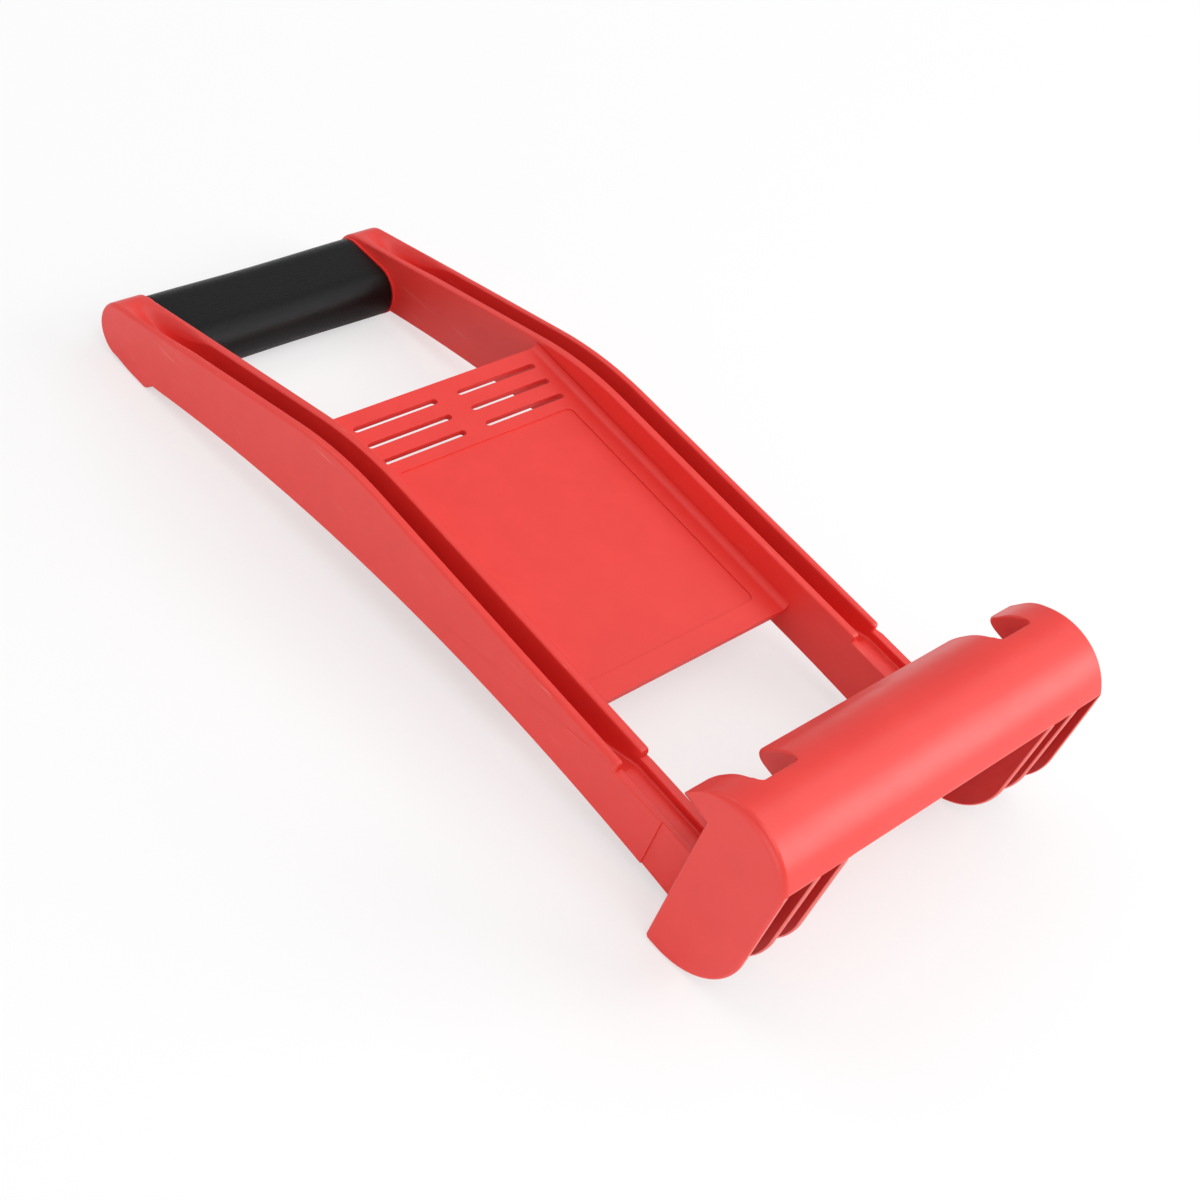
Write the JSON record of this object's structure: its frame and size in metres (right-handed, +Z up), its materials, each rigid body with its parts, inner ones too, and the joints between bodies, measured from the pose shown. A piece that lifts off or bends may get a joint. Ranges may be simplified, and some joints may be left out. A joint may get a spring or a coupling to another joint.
{
  "type": "panel carrier",
  "caption": "Hand-held board carrier: bowed channel rails joined by a slotted plate, a sleeved hand grip at one end and a ribbed half-round hook with a notched lip at the other.",
  "frame": {"origin": "Middle of the length and of the width, on the ground plane under the feet of the hook and the heels of the handle", "axes": "+X across the carrier, +Y from the hook towards the hand grip, +Z up from the ground"},
  "size_m": [0.145, 0.3396, 0.0699],
  "materials": {
    "body_red": "satin",
    "grip_black": "fine texture"
  },
  "bodies": {
    "root": {"left_rail": "body_red", "right_rail": "body_red", "web_plate": "body_red", "handle_bar": "body_red", "grip_sleeve": "grip_black", "panel_seat": "body_red", "hook_shell": "body_red", "left_cheek": "body_red", "right_cheek": "body_red", "left_outer_fin": "body_red", "left_inner_fin": "body_red", "right_inner_fin": "body_red", "right_outer_fin": "body_red"}
  },
  "joints": []
}
